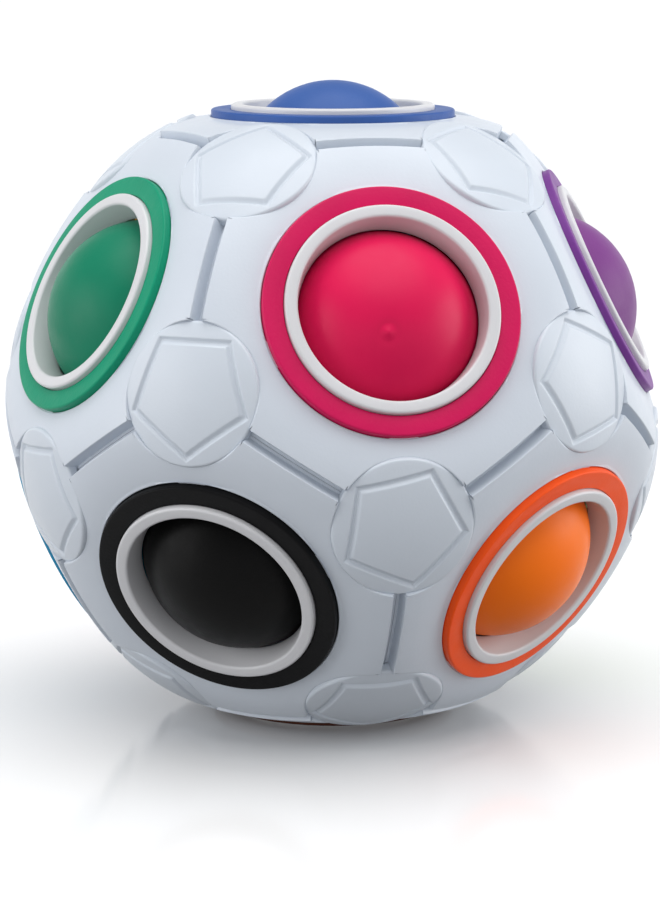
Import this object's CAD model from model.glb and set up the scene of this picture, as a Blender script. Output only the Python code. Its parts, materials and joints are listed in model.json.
"""Looks of the sliding-ball puzzle ball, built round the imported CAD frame.

Sizes that the boxes of the frame's nodes give are read from it. The others, such as
roundings, are named below in millimetres. A window's local frame has +Z along the window's
axis and +X towards the middle of one of its five seams; a corner's has +Z outwards and +X
down the shell.
"""
import json
import math
import random

import bmesh
import bpy
import numpy as np
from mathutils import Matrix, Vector


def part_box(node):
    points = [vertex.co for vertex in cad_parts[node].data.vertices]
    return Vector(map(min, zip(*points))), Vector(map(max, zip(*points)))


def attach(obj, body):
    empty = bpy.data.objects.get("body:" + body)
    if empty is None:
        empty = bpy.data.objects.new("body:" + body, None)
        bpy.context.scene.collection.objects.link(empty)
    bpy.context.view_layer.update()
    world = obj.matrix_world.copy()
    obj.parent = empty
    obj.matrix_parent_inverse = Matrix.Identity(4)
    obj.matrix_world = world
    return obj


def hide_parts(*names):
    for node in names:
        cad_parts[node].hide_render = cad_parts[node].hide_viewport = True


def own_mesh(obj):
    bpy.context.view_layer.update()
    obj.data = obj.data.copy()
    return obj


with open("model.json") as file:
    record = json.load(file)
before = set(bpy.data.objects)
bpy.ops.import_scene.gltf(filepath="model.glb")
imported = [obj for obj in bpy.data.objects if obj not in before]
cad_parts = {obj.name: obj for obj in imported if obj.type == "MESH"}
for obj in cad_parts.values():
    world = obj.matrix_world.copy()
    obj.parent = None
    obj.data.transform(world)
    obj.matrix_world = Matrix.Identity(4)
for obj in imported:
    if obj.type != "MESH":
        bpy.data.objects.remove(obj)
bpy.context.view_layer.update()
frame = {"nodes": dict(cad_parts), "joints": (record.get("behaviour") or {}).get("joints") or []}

MM = 0.001
RANDOM_SEED = 12
WINDOWS = [n[len("ring_"):] for n in frame["nodes"] if n.startswith("ring_")]
BALLS = [n[len("ball_"):] for n in frame["nodes"] if n.startswith("ball_")]


# ---------------------------------------------------------------- sizes, in millimetres

def box_mm(node):
    low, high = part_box(node)
    return np.array(low) / MM, np.array(high) / MM


def middle(node):
    low, high = box_mm(node)
    return (low + high) / 2


CENTRE = middle("soft_core")
PANEL_LOW, PANEL_HIGH = box_mm("panel_blue")
RING_LOW, RING_HIGH = box_mm("ring_blue")
RIM_LOW, RIM_HIGH = box_mm("rim_blue")
BALL_LOW, BALL_HIGH = box_mm("ball_blue")
CORE_HIGH = box_mm("soft_core")[1]

SHELL_R = 35.0
HOLLOW_R = 31.5
LAND_H = PANEL_HIGH[2] - CENTRE[2]
RING_R = (RING_HIGH[0] - RING_LOW[0]) / 2
RING_H = RING_HIGH[2] - CENTRE[2]
SEAT_H = RING_LOW[2] - CENTRE[2]
RING_CROWN = 0.05
RIM_R = (RIM_HIGH[0] - RIM_LOW[0]) / 2
RIM_H = RIM_HIGH[2] - CENTRE[2]
LIP_H = RIM_LOW[2] - CENTRE[2]
HOLE_R = 10.25
MOUTH_R = 9.4
LIP_R = 9.0
FIT = 0.05
BALL_R = (BALL_HIGH[2] - BALL_LOW[2]) / 2

SEAM_GAP = 0.02
GROOVE_DEPTH = 1.5
GROOVE_HALF_W = 0.7
GROOVE_FLOOR_HALF_W = 0.3
LAND_BLEND = 2.2

CAP_R = 7.1
CAP_SEAT_H = 33.0
CAP_TOP_H = 35.0
CAP_DOME_R = 22.0
CAP_ROUND = 0.22
PENTAGON_R = 6.2
LINE_W = 0.9
LINE_DEPTH = 0.32
POST_R = 2.0

HUB_H = 6.0
STUD_REACH = CORE_HIGH[2] - CENTRE[2]
STUD_TIP_R = 2.6
STUD_ROOT_R = 3.2

FACE_ANGLE = 2 * math.atan((math.sqrt(5) - 1) / 2)
CORNER_ANGLE = math.acos(math.sqrt((5 + 2 * math.sqrt(5)) / 15))
OUTER_CORNER_ANGLE = math.acos(math.sqrt((5 - 2 * math.sqrt(5)) / 15))
FIFTH_TURN = math.radians(72)
TENTH_TURN = math.radians(36)

# Turns of the engraved pentagons in degrees, row by row from the top, the caps of a row
# counted round from the first one past the front
PENTAGON_TURNS = {
    "crown": (12, -24, 31, 8, -33),
    "upper": (-24, 17, -9, 28, 0),
    "lower": (12, -14, 22, -30, 5),
    "foot": (4, 26, -18, 9, -33),
}
FRONT = math.radians(-90)


# ---------------------------------------------------------------- local frames

def unit(v):
    v = np.asarray(v, float)
    return v / np.linalg.norm(v)


def frame_matrix(x, z):
    """Matrix whose local +Z is z and whose local +X is x, made square to z."""
    z = unit(z)
    x = unit(np.asarray(x) - z * np.dot(x, z))
    y = np.cross(z, x)
    return np.array([x, y, z]).T


AXES = {n: unit(middle("ring_" + n) - CENTRE) for n in WINDOWS}


def neighbours(name):
    close = math.cos(FACE_ANGLE)
    return [n for n in WINDOWS if abs(np.dot(AXES[n], AXES[name]) - close) < 0.01]


def window_frame(name):
    return frame_matrix(AXES[neighbours(name)[0]], AXES[name])


def corners():
    """(row, turn, direction) of each of the twenty corners where three panels meet."""
    rows = (
        ("crown", CORNER_ANGLE, FRONT + FIFTH_TURN / 2),
        ("upper", OUTER_CORNER_ANGLE, FRONT + FIFTH_TURN / 2),
        ("lower", math.pi - OUTER_CORNER_ANGLE, FRONT),
        ("foot", math.pi - CORNER_ANGLE, FRONT),
    )
    for row, tilt, first in rows:
        for k, turn in enumerate(PENTAGON_TURNS[row]):
            a = first + FIFTH_TURN * k
            direction = (math.sin(tilt) * math.cos(a), math.sin(tilt) * math.sin(a), math.cos(tilt))
            yield row, k, math.radians(turn), np.array(direction)


# ---------------------------------------------------------------- mesh helpers

WELD = 0.003
SLIVER = 0.001


def smoothstep(t):
    t = np.clip(t, 0, 1)
    return t * t * (3 - 2 * t)


def smooth_min(a, b, k):
    h = np.maximum(k - np.abs(a - b), 0) / k
    return np.minimum(a, b) - h * h * k / 4


def grid_faces(rows, cols, closed):
    """Quads of a grid whose columns go round, and whose rows close up too if closed."""
    last = rows if closed else rows - 1
    r, c = np.meshgrid(np.arange(last), np.arange(cols), indexing="ij")
    r2 = (r + 1) % rows
    c2 = (c + 1) % cols
    quads = np.stack([r * cols + c, r * cols + c2, r2 * cols + c2, r2 * cols + c], -1)
    return quads.reshape(-1, 4).tolist()


def mesh_object(name, grid, closed, matrix, sharp=40):
    """A closed solid from a grid of rows of points in mm, placed by matrix about the centre."""
    rows, cols, _ = grid.shape
    points = grid.reshape(-1, 3) @ matrix.T + CENTRE
    mesh = bpy.data.meshes.new(name)
    mesh.from_pydata((points * MM).tolist(), [], grid_faces(rows, cols, closed))
    bm = bmesh.new()
    bm.from_mesh(mesh)
    bmesh.ops.remove_doubles(bm, verts=bm.verts, dist=WELD * MM)
    bmesh.ops.dissolve_degenerate(bm, edges=bm.edges, dist=SLIVER * MM)
    bmesh.ops.recalc_face_normals(bm, faces=bm.faces)
    bm.to_mesh(mesh)
    bm.free()
    mesh.shade_smooth()
    mesh.set_sharp_from_angle(angle=math.radians(sharp))
    obj = bpy.data.objects.new(name, mesh)
    bpy.context.scene.collection.objects.link(obj)
    return obj


def arc(cx, cz, r, start, end, steps):
    """Points of an arc in the (radius, height) plane, angles in degrees from +radius."""
    angles = np.radians(np.linspace(start, end, steps))
    return [(cx + r * math.cos(a), cz + r * math.sin(a)) for a in angles]


def lathe_grid(profile, cols):
    """Grid of a profile of (radius, height) points turned about +Z."""
    profile = np.array(profile, float)
    a = np.linspace(0, 2 * math.pi, cols, endpoint=False)
    x = profile[:, :1] * np.cos(a)
    y = profile[:, :1] * np.sin(a)
    z = np.repeat(profile[:, 1:], cols, axis=1)
    return np.stack([x, y, z], -1)


def level_row(azimuth, radius, height):
    """One row of points round +Z, all at the same height."""
    return np.stack([radius * np.cos(azimuth), radius * np.sin(azimuth),
                     np.full_like(azimuth, height)], -1)


# ---------------------------------------------------------------- materials

# Noise scales per metre, and the height in metres of the satin grain
MOTTLE_SCALE = 160
SHEEN_SCALE = 700
GRAIN_SCALE = 3200
GRAIN_HEIGHT = 0.00003
# The part of the noise's range that is spread over a remapped one
NOISE_LOW = 0.3
NOISE_HIGH = 0.7


def linear(rgb):
    """Linear colour of an sRGB one."""
    return tuple(c / 12.92 if c <= 0.04045 else ((c + 0.055) / 1.055) ** 2.4 for c in rgb)


def noise_node(tree, coords, scale, detail):
    tex = tree.nodes.new("ShaderNodeTexNoise")
    tex.inputs["Scale"].default_value = scale
    tex.inputs["Detail"].default_value = detail
    tree.links.new(coords, tex.inputs["Vector"])
    return tex.outputs["Fac"]


def remap(tree, value, low, high):
    node = tree.nodes.new("ShaderNodeMapRange")
    node.inputs["From Min"].default_value = NOISE_LOW
    node.inputs["From Max"].default_value = NOISE_HIGH
    node.inputs["To Min"].default_value = low
    node.inputs["To Max"].default_value = high
    tree.links.new(value, node.inputs["Value"])
    return node.outputs["Result"]


def moulded(name, rgb, roughness, spread=0.04, grain=0.5, shade=0.05, specular=0.5):
    """Moulded plastic: a faint mottle in its colour and gloss, and a fine satin grain."""
    mat = bpy.data.materials.new(name)
    mat.use_nodes = True
    tree = mat.node_tree
    shader = tree.nodes["Principled BSDF"]
    coords = tree.nodes.new("ShaderNodeTexCoord").outputs["Object"]
    base = linear(rgb)
    mix = tree.nodes.new("ShaderNodeMix")
    mix.data_type = "RGBA"
    mix.inputs["A"].default_value = (*[c * (1 - shade) for c in base], 1)
    mix.inputs["B"].default_value = (*[min(1, c * (1 + shade)) for c in base], 1)
    tree.links.new(remap(tree, noise_node(tree, coords, MOTTLE_SCALE, 3), 0, 1), mix.inputs["Factor"])
    tree.links.new(mix.outputs["Result"], shader.inputs["Base Color"])
    sheen = noise_node(tree, coords, SHEEN_SCALE, 4)
    satin = remap(tree, sheen, roughness - spread, roughness + spread)
    tree.links.new(satin, shader.inputs["Roughness"])
    shader.inputs["Specular IOR Level"].default_value = specular
    bump = tree.nodes.new("ShaderNodeBump")
    bump.inputs["Strength"].default_value = grain
    bump.inputs["Distance"].default_value = GRAIN_HEIGHT
    tree.links.new(noise_node(tree, coords, GRAIN_SCALE, 2), bump.inputs["Height"])
    tree.links.new(bump.outputs["Normal"], shader.inputs["Normal"])
    return mat


# Colours of each window's ring and ball
COLOURS = {
    "blue": ((0.20, 0.34, 0.60), (0.22, 0.36, 0.62)),
    "magenta": ((0.80, 0.05, 0.33), (0.84, 0.04, 0.30)),
    "purple": ((0.46, 0.22, 0.55), (0.47, 0.24, 0.51)),
    "red": ((0.80, 0.08, 0.09), (0.77, 0.06, 0.08)),
    "yellow": ((0.96, 0.76, 0.10), (0.95, 0.74, 0.08)),
    "green": ((0.02, 0.56, 0.42), (0.03, 0.47, 0.35)),
    "orange": ((1.0, 0.33, 0.05), (1.0, 0.46, 0.05)),
    "lime": ((0.48, 0.72, 0.14), (0.46, 0.70, 0.12)),
    "pink": ((0.94, 0.58, 0.70), (0.93, 0.56, 0.68)),
    "sky": ((0.16, 0.53, 0.68), (0.18, 0.54, 0.70)),
    "black": ((0.05, 0.05, 0.055), (0.02, 0.02, 0.02)),
    "brown": ((0.27, 0.13, 0.07), (0.27, 0.13, 0.07)),
}
GLOSS = {"black": 0.08}
PLAIN_GLOSS = 0.2
COLOURED_ROUGHNESS = 0.42
PANEL_WHITE = moulded("panel_white", (0.80, 0.828, 0.865), 0.34, grain=0.35, shade=0.012)
CAP_WHITE = moulded("cap_white", (0.795, 0.824, 0.86), 0.36, grain=0.35, shade=0.012)
RIM_WHITE = moulded("rim_white", (0.82, 0.82, 0.83), 0.33, grain=0.3, shade=0.012)
CORE_RUBBER = moulded("core_rubber", (0.80, 0.78, 0.73), 0.62, grain=0.9, shade=0.04)


def dressed(obj, material, slot, body, *nodes):
    """Gives a piece its material and slot, its body, and the CAD nodes that it stands for."""
    obj.data.materials.append(material)
    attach(obj, body)
    if nodes:
        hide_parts(*nodes)
    return obj


# ---------------------------------------------------------------- panels

# Columns of points along each seam and past each cap, and how they are spread past a cap
SEAM_COLUMNS = 21
CAP_COLUMNS = 36
EASED_SHARE = 0.55
EVEN_SHARE = 0.45
LAND_ROWS = 19
SEAT_ROWS = (0.25, 0.5, 0.75, 1)
INNER_ROWS = 7
RECESS_ROUND = 0.14
SEAT_EDGE_DROP = 0.13
SEAT_EDGE_W = 0.22
SEAT_STEP = 0.05
# Distances from the panel's edge of the rows that shape the groove
EDGE_MARGINS = (2.2, 1.5, 1.1, 0.85, 0.74, 0.69, 0.65, 0.61, 0.57, 0.53, 0.49, 0.45, 0.41, 0.37,
                0.3, 0.15, 0)

SEAM_NORMALS = [
    np.array([math.cos(FACE_ANGLE / 2) * math.cos(a), math.cos(FACE_ANGLE / 2) * math.sin(a),
              -math.sin(FACE_ANGLE / 2)])
    for a in np.radians(72 * np.arange(5))
]


def panel_columns():
    """Azimuths of the panel's columns, which meet the ends of the grooves exactly, and the
    angle that a cap's seat covers from the corner."""
    half_edge = math.acos(math.cos(CORNER_ANGLE) / math.cos(FACE_ANGLE / 2))
    cap_angle = math.asin((CAP_R + FIT) / SHELL_R)
    along = half_edge - cap_angle
    end = math.atan2(math.sin(along), math.cos(along) * math.sin(FACE_ANGLE / 2))
    seam = np.linspace(-end, end, SEAM_COLUMNS + 1)[:-1]
    t = np.linspace(0, 1, CAP_COLUMNS + 1)[:-1]
    ease = (1 - np.cos(math.pi * t)) / 2
    cap = end + (2 * TENTH_TURN - 2 * end) * (EASED_SHARE * ease + EVEN_SHARE * t)
    one = np.concatenate([seam, cap])
    return np.concatenate([one + 2 * TENTH_TURN * k for k in range(5)]), cap_angle


def seam_tilt(azimuth):
    """Angle from the window's axis to the panel's edge, less the gap."""
    off = (azimuth + TENTH_TURN) % FIFTH_TURN - TENTH_TURN
    a = math.cos(FACE_ANGLE / 2) * np.cos(off)
    b = math.sin(FACE_ANGLE / 2)
    size = np.hypot(a, b)
    return np.arctan2(b, a) - np.arcsin(SEAM_GAP / SHELL_R / size)


def cap_tilt(azimuth, cap_angle):
    """Angle from the window's axis to the near side of the cap's seat; far where it misses."""
    off = azimuth % FIFTH_TURN - TENTH_TURN
    a = math.sin(CORNER_ANGLE) * np.cos(off)
    b = math.cos(CORNER_ANGLE)
    size = np.hypot(a, b)
    ratio = math.cos(cap_angle) / size
    hit = ratio <= 1
    tilt = np.arctan2(a, b) - np.arccos(np.where(hit, ratio, 1))
    return np.where(hit, tilt, math.pi)


def directions(tilt, azimuth):
    return np.stack([np.sin(tilt) * np.cos(azimuth), np.sin(tilt) * np.sin(azimuth), np.cos(tilt)], -1)


def shell_surface(dirs):
    """Distance from the centre to the panel's outer face along each direction."""
    rho = smooth_min(np.full(dirs.shape[:-1], SHELL_R), LAND_H / dirs[..., 2], LAND_BLEND)
    nearest = np.full(dirs.shape[:-1], np.inf)
    for normal in SEAM_NORMALS:
        nearest = np.minimum(nearest, -(dirs @ normal) * SHELL_R)
    into = (GROOVE_HALF_W - nearest) / (GROOVE_HALF_W - GROOVE_FLOOR_HALF_W)
    return rho - GROOVE_DEPTH * smoothstep(into)


def seat_distance(dirs, azimuth):
    """Distance along each direction to the seat plane of the nearest corner cap."""
    near = (np.floor(azimuth / FIFTH_TURN) + 0.5) * FIFTH_TURN
    axis = directions(np.full_like(near, CORNER_ANGLE), near)
    return CAP_SEAT_H / np.sum(dirs * axis, -1)


def panel_grid():
    """Rows from the hole's inner edge over the ring's recess and the land to the panel's edge,
    over the caps' seats, and back along the inside."""
    azimuth, cap_angle = panel_columns()
    edge = seam_tilt(azimuth)
    cap_edge = cap_tilt(azimuth, cap_angle)
    visible = np.minimum(edge, cap_edge)
    at_cap = cap_edge < edge
    recess_r = RING_R + FIT
    profile = [(HOLE_R, math.sqrt(HOLLOW_R ** 2 - HOLE_R ** 2)), (HOLE_R, SEAT_H),
               (recess_r, SEAT_H)]
    profile += arc(recess_r + RECESS_ROUND, LAND_H - RECESS_ROUND, RECESS_ROUND, 180, 90, 5)
    rows = [level_row(azimuth, radius, height) for radius, height in profile]

    start = math.atan2(recess_r + RECESS_ROUND, LAND_H)
    stop = visible - EDGE_MARGINS[0] / SHELL_R
    tilts = [start + (stop - start) * t for t in np.linspace(0, 1, LAND_ROWS + 1)[1:]]
    tilts += [visible - m / SHELL_R for m in EDGE_MARGINS[1:]]
    for tilt in tilts:
        dirs = directions(tilt, azimuth)
        rho = shell_surface(dirs)
        gap = (visible - tilt) * SHELL_R
        edge_drop = SEAT_EDGE_DROP * np.clip(1 - gap / SEAT_EDGE_W, 0, 1) ** 2
        rows.append(dirs * (rho - np.where(at_cap, edge_drop, 0))[..., None])
    last = rho - np.where(at_cap, SEAT_EDGE_DROP, 0)

    dirs = directions(visible, azimuth)
    below_edge = np.minimum(seat_distance(dirs, azimuth), last - SEAT_STEP)
    rows.append(dirs * np.where(at_cap, below_edge, last)[..., None])
    for t in SEAT_ROWS:
        dirs = directions(visible + (edge - visible) * t, azimuth)
        rows.append(dirs * np.where(at_cap, seat_distance(dirs, azimuth), last)[..., None])
    inner_start = math.asin(HOLE_R / HOLLOW_R)
    for t in np.linspace(1, 0, INNER_ROWS + 1)[:-1]:
        rows.append(directions(inner_start + (edge - inner_start) * t, azimuth) * HOLLOW_R)
    return np.array(rows)


def make_panels():
    grid = panel_grid()
    for name in WINDOWS:
        panel = mesh_object("shell_panel_" + name, grid, True, window_frame(name), sharp=50)
        dressed(panel, PANEL_WHITE, "shell_white", "shell", "panel_" + name)


# ---------------------------------------------------------------- rings, rims and balls

RING_COLUMNS = 144
BALL_COLUMNS = 96
# Arc lengths from the gate of the ball's rows near it, and where the plain rows start
GATE_ROWS = (0, 0.12, 0.24, 0.34, 0.42, 0.5, 0.58, 0.68, 0.8, 0.94, 1.1, 1.3)
PLAIN_START = 1.6
PLAIN_ROWS = 70
GATE_HEIGHT = 0.2
GATE_SPREAD = 0.42
DIMPLE_DEPTH = 0.05
DIMPLE_AT = 0.9
DIMPLE_SPREAD = 0.26


def ring_profile():
    top = RING_H + RING_CROWN
    inner = RIM_R + FIT
    outer_round = 0.22
    inner_round = 0.12
    chamfer = 0.05
    profile = [(inner, SEAT_H), (RING_R - chamfer, SEAT_H), (RING_R, SEAT_H + chamfer)]
    profile += arc(RING_R - outer_round, top - outer_round, outer_round, 0, 90, 7)
    profile += arc(inner + inner_round, top - inner_round, inner_round, 90, 180, 5)
    return profile


def rim_profile():
    crown = 0.3
    flat_in = MOUTH_R + crown
    step_r = HOLE_R - FIT
    chamfer = 0.04
    profile = [(RIM_R - chamfer, SEAT_H), (RIM_R, SEAT_H + chamfer)]
    profile += arc(RIM_R - crown, RIM_H - crown, crown, 0, 90, 8)
    profile += arc(flat_in, RIM_H - crown, crown, 90, 176, 8)
    depth = RIM_H - crown - LIP_H
    for t in (0.2, 0.4, 0.6, 0.8, 0.94):
        profile.append((MOUTH_R + (LIP_R - MOUTH_R) * t ** 0.9, RIM_H - crown - depth * t))
    profile += [(LIP_R + 0.03, LIP_H + 0.03), (LIP_R + 0.12, LIP_H), (step_r - chamfer, LIP_H),
                (step_r, LIP_H + chamfer), (step_r, SEAT_H)]
    return profile


def ball_profile():
    """Half outline from the gate to the far side: a small trimmed gate in a shallow dimple."""
    profile = []
    tilts = [g / BALL_R for g in GATE_ROWS]
    tilts += list(np.linspace(PLAIN_START / BALL_R, math.pi, PLAIN_ROWS))
    for tilt in tilts:
        out = tilt * BALL_R
        bump = GATE_HEIGHT * math.exp(-(out / GATE_SPREAD) ** 2)
        dimple = DIMPLE_DEPTH * math.exp(-((out - DIMPLE_AT) / DIMPLE_SPREAD) ** 2)
        rho = BALL_R + bump - dimple
        profile.append((rho * math.sin(tilt), rho * math.cos(tilt)))
    return profile


# Degrees across and up from the window's axis to the gate, where it shows
GATE_OFFSETS = {"magenta": (-7.3, -18.0)}


def ball_frame(name, rng):
    """The gate is turned inwards, out of sight, except on the ball where it shows."""
    axis = AXES[name]
    side = unit(np.cross([0, 0, 1], axis)) if abs(axis[2]) < 0.99 else np.array([1.0, 0, 0])
    up = np.cross(axis, side)
    if name in GATE_OFFSETS:
        across, lift = (math.radians(a) for a in GATE_OFFSETS[name])
        gate = axis + math.tan(across) * side + math.tan(lift) * up
    else:
        turn = rng.uniform(0, 2 * math.pi)
        gate = -0.4 * axis + math.cos(turn) * side + math.sin(turn) * up
    return frame_matrix(side, unit(gate))


def make_windows():
    rng = random.Random(RANDOM_SEED)
    ring_grid = lathe_grid(ring_profile(), RING_COLUMNS)
    rim_grid = lathe_grid(rim_profile(), RING_COLUMNS)
    ball_grid = lathe_grid(ball_profile(), BALL_COLUMNS)
    for name in WINDOWS:
        ring_rgb, ball_rgb = COLOURS[name]
        slot = "plastic_" + name
        window = window_frame(name)
        ring = mesh_object("window_ring_" + name, ring_grid, True, window)
        gloss = GLOSS.get(name, PLAIN_GLOSS)
        ring_mat = moulded("ring_" + name, ring_rgb, COLOURED_ROUGHNESS, spread=0.05, grain=0.7,
                           specular=gloss)
        dressed(ring, ring_mat, slot, "shell", "ring_" + name)
        rim = mesh_object("window_rim_" + name, rim_grid, True, window)
        dressed(rim, RIM_WHITE, "shell_white", "shell", "rim_" + name)
        if name in BALLS:
            seat = middle("ball_" + name) - CENTRE
            turned = ball_frame(name, rng)
            placed = ball_grid + seat @ turned
            ball = mesh_object("loose_ball_" + name, placed, False, turned)
            ball_mat = moulded("ball_" + name, ball_rgb, COLOURED_ROUGHNESS, grain=0.35, shade=0.03,
                               specular=gloss)
            dressed(ball, ball_mat, slot, "ball_" + name, "ball_" + name)


# ---------------------------------------------------------------- corner caps

CAP_COLUMN_STEP = 2.0
# Shares of the pentagon's size for the rows inside it, and the half widths that the line spans
FIELD_ROWS = (0, 0.2, 0.4, 0.6, 0.75, 0.86)
LINE_REACH = 1.15
LINE_ROWS = 15
BARB_OUT = 0.5


def cap_grid(turn):
    """Domed cap with the engraved pentagon, and the snap post under it, from pole to pole."""
    azimuth = np.radians(np.arange(0, 360, CAP_COLUMN_STEP))
    apothem = PENTAGON_R * math.cos(TENTH_TURN)
    wedge = (azimuth - turn) % FIFTH_TURN - TENTH_TURN
    pentagon = 1 / np.cos(wedge)
    half = LINE_W / 2
    rows = []

    def dome_row(radius, drop):
        height = CAP_TOP_H - CAP_DOME_R + np.sqrt(CAP_DOME_R ** 2 - radius ** 2) - drop
        rows.append(np.stack([radius * np.cos(azimuth), radius * np.sin(azimuth), height], -1))

    for share in FIELD_ROWS:
        dome_row(apothem * share * (pentagon * share + (1 - share)), 0)
    for step in np.linspace(-LINE_REACH, LINE_REACH, LINE_ROWS):
        drop = LINE_DEPTH * (0.5 + 0.5 * math.cos(math.pi * min(1, abs(step))))
        dome_row((apothem + half * step) * pentagon, drop)
    outline = (apothem + half * LINE_REACH) * pentagon
    flat_r = CAP_R - CAP_ROUND
    for t in (0.33, 0.66, 1):
        dome_row(outline + (flat_r - outline) * t, 0)
    for a in np.radians(np.linspace(0, 84, 8)[1:]):
        edge = np.full_like(azimuth, flat_r + CAP_ROUND * math.sin(a))
        dome_row(edge, CAP_ROUND * (1 - math.cos(a)))
    barb_top = HOLLOW_R - 0.2
    post_end = HOLLOW_R - 1.5
    under = [(CAP_R, CAP_SEAT_H + 0.6), (CAP_R, CAP_SEAT_H), (POST_R + 0.2, CAP_SEAT_H),
             (POST_R, CAP_SEAT_H - 0.2), (POST_R, barb_top), (POST_R + 0.45, barb_top),
             (POST_R + BARB_OUT, barb_top - 0.08), (POST_R, barb_top - 0.75), (POST_R - 0.25, post_end),
             (0.6, post_end - 0.02), (0, post_end - 0.02)]
    rows += [level_row(azimuth, radius, height) for radius, height in under]
    return np.array(rows)


def make_caps():
    down = np.array([0, 0, -1.0])
    for row, k, turn, direction in corners():
        name = f"corner_cap_{row}_{k + 1}"
        cap = mesh_object(name, cap_grid(turn), False, frame_matrix(down, direction))
        dressed(cap, CAP_WHITE, "shell_white", "shell", "caps_" + row)


# ---------------------------------------------------------------- soft core

HUB_SHARPNESS = 26
STUD_COLUMNS = 48
STUD_ROUND = 0.5
STUD_BURIED = 0.6


def make_core():
    """Rounded twelve-sided hub, and a stud to each window. A stud flattens under its ball's
    press joint, which neither the orange ball nor the empty window has."""
    mesh = bpy.data.meshes.new("core_hub")
    bm = bmesh.new()
    bmesh.ops.create_icosphere(bm, subdivisions=5, radius=1)
    axes = np.array([AXES[n] for n in WINDOWS])
    for v in bm.verts:
        d = unit(v.co)
        towards = np.maximum(axes @ d, 0)
        rho = HUB_H / np.sum(towards ** HUB_SHARPNESS) ** (1 / HUB_SHARPNESS)
        v.co = Vector((d * rho + CENTRE) * MM)
    bm.to_mesh(mesh)
    bm.free()
    mesh.shade_smooth()
    hub = bpy.data.objects.new("core_hub", mesh)
    bpy.context.scene.collection.objects.link(hub)
    dressed(hub, CORE_RUBBER, "core_rubber", "shell", "soft_core")

    length = STUD_REACH - HUB_H
    foot_r = STUD_ROOT_R + 0.1
    profile = [(0, HUB_H - STUD_BURIED), (foot_r, HUB_H - STUD_BURIED), (foot_r, HUB_H - 0.1)]
    profile += arc(STUD_ROOT_R + STUD_ROUND, HUB_H + STUD_ROUND, STUD_ROUND, 250, 180, 5)[1:]
    for t in (0.3, 0.6, 0.85):
        profile.append((STUD_ROOT_R + (STUD_TIP_R - STUD_ROOT_R) * t, HUB_H + length * t))
    profile += arc(STUD_TIP_R - STUD_ROUND, STUD_REACH - STUD_ROUND, STUD_ROUND, 5, 90, 6)
    profile += [(1.0, STUD_REACH - 0.05), (0, STUD_REACH - 0.08)]
    grid = lathe_grid(profile, STUD_COLUMNS)
    pressed = {j["child"]: j["name"] for j in frame["joints"] if j["name"].startswith("press_")}
    for name in WINDOWS:
        stud = mesh_object("core_stud_" + name, grid, False, window_frame(name))
        joint = pressed.get("ball_" + name)
        dressed(stud, CORE_RUBBER, "core_rubber", "shell", "soft_core")
        if joint:
            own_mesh(stud)


# ---------------------------------------------------------------- stage, light and camera

FLOOR_HALF = 12.0
FLOOR_GREY = 0.93


def make_floor():
    mesh = bpy.data.meshes.new("floor")
    floor_corners = [(x * FLOOR_HALF, y * FLOOR_HALF, 0) for x, y in ((-1, -1), (1, -1), (1, 1), (-1, 1))]
    mesh.from_pydata(floor_corners, [], [(0, 1, 2, 3)])
    floor = bpy.data.objects.new("floor", mesh)
    bpy.context.scene.collection.objects.link(floor)
    mat = bpy.data.materials.new("floor_white")
    mat.use_nodes = True
    tree = mat.node_tree
    shader = tree.nodes["Principled BSDF"]
    shader.inputs["Base Color"].default_value = (FLOOR_GREY, FLOOR_GREY, FLOOR_GREY, 1)
    coords = tree.nodes.new("ShaderNodeTexCoord").outputs["Object"]
    tree.links.new(remap(tree, noise_node(tree, coords, 20, 3), 0.10, 0.14), shader.inputs["Roughness"])
    mesh.materials.append(mat)
    # The floor throws no diffuse light up on to the ball, whose underside would be too bright
    floor.visible_diffuse = False


def aimed(obj, place, target):
    obj.location = place
    obj.rotation_euler = (Vector(target) - Vector(place)).to_track_quat("-Z", "Y").to_euler()


def area_light(name, place, size, power):
    data = bpy.data.lights.new(name, "AREA")
    data.shape = "RECTANGLE"
    data.size, data.size_y = size
    data.energy = power
    lamp = bpy.data.objects.new(name, data)
    bpy.context.scene.collection.objects.link(lamp)
    aimed(lamp, place, CENTRE * MM)


SUN_POWER = 2.45
SUN_ANGLE = math.radians(70)
SUN_PLACE = (0.05, -0.1, 1)
# Place and size in metres and power in watts of each softbox
SOFTBOXES = {
    "softbox_left": ((-0.42, -0.05, 0.10), (0.30, 0.36), 0.75),
    "softbox_right": ((0.42, -0.06, 0.10), (0.30, 0.30), 0.85),
}
# Brightness of the studio by height: 0 straight down, 0.5 level, 1 straight up
WORLD_STOPS = ((0.28, 0.18), (0.50, 1.0), (0.60, 1.0), (0.72, 0.33))
WORLD_TINT = (1, 1.01, 1.03)


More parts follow.
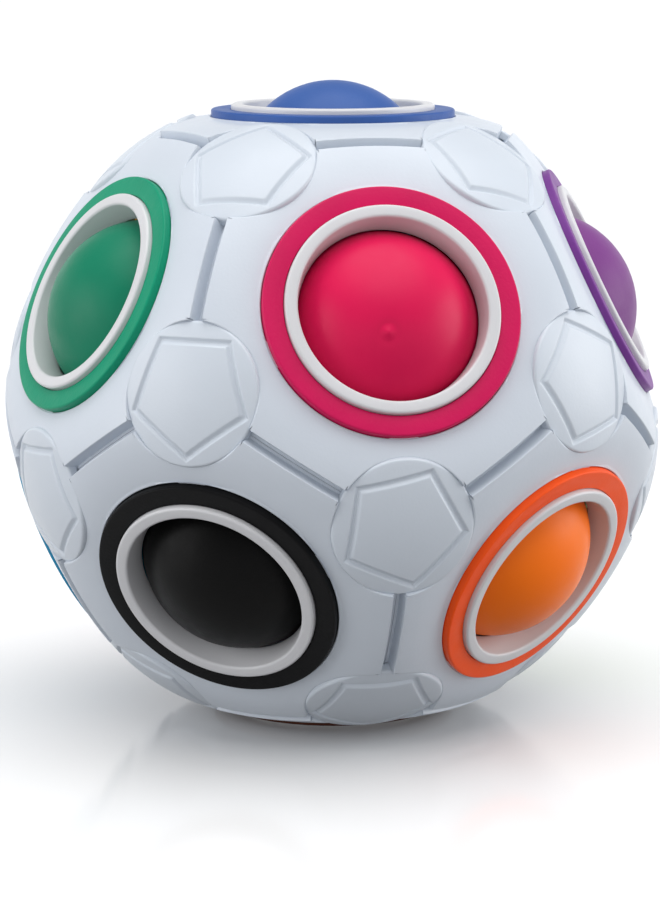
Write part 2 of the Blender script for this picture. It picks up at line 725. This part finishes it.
def make_light():
    data = bpy.data.lights.new("overhead", "SUN")
    data.energy = SUN_POWER
    data.angle = SUN_ANGLE
    sun = bpy.data.objects.new("overhead", data)
    bpy.context.scene.collection.objects.link(sun)
    aimed(sun, SUN_PLACE, (0, 0, 0))
    for name, (place, size, power) in SOFTBOXES.items():
        area_light(name, place, size, power)

    world = bpy.data.worlds.new("studio")
    bpy.context.scene.world = world
    world.use_nodes = True
    tree = world.node_tree
    background = tree.nodes["Background"]
    coords = tree.nodes.new("ShaderNodeTexCoord").outputs["Generated"]
    split = tree.nodes.new("ShaderNodeSeparateXYZ")
    tree.links.new(coords, split.inputs["Vector"])
    ramp = tree.nodes.new("ShaderNodeValToRGB")
    stops = ramp.color_ramp.elements
    stops[0].position, stops[1].position = WORLD_STOPS[0][0], WORLD_STOPS[-1][0]
    for position, _ in WORLD_STOPS[1:-1]:
        stops.new(position)
    for stop, (_, grey) in zip(stops, WORLD_STOPS):
        stop.color = (*[grey * tint for tint in WORLD_TINT], 1)
    height = tree.nodes.new("ShaderNodeMapRange")
    height.inputs["From Min"].default_value = -1
    tree.links.new(split.outputs["Z"], height.inputs["Value"])
    tree.links.new(height.outputs["Result"], ramp.inputs["Fac"])
    tree.links.new(ramp.outputs["Color"], background.inputs["Color"])


# The camera is aimed below and left of the ball's middle, and its shift lifts the view again
CAMERA_ELEVATION = math.radians(9.4)
CAMERA_AZIMUTH = math.radians(-11.8)
CAMERA_DISTANCE = 310.0
CAMERA_LENS = 115.5
AIM_BELOW = 12.0
AIM_LEFT = 0.3
LENS_SHIFT = 0.077


def make_camera():
    data = bpy.data.cameras.new("camera")
    data.lens = CAMERA_LENS
    data.clip_start = 0.01
    data.shift_y = LENS_SHIFT
    camera = bpy.data.objects.new("camera", data)
    bpy.context.scene.collection.objects.link(camera)
    level = math.cos(CAMERA_ELEVATION)
    towards = np.array([math.sin(CAMERA_AZIMUTH) * level, -math.cos(CAMERA_AZIMUTH) * level,
                        math.sin(CAMERA_ELEVATION)])
    right = np.array([math.cos(CAMERA_AZIMUTH), math.sin(CAMERA_AZIMUTH), 0])
    up = np.cross(towards, right)
    place = CENTRE + towards * CAMERA_DISTANCE
    target = CENTRE - up * AIM_BELOW - right * AIM_LEFT
    aimed(camera, tuple(place * MM), tuple(target * MM))
    bpy.context.scene.camera = camera


make_camera()
make_panels()
make_windows()
make_caps()
make_core()
make_floor()
make_light()
bpy.context.scene.view_settings.view_transform = "Standard"
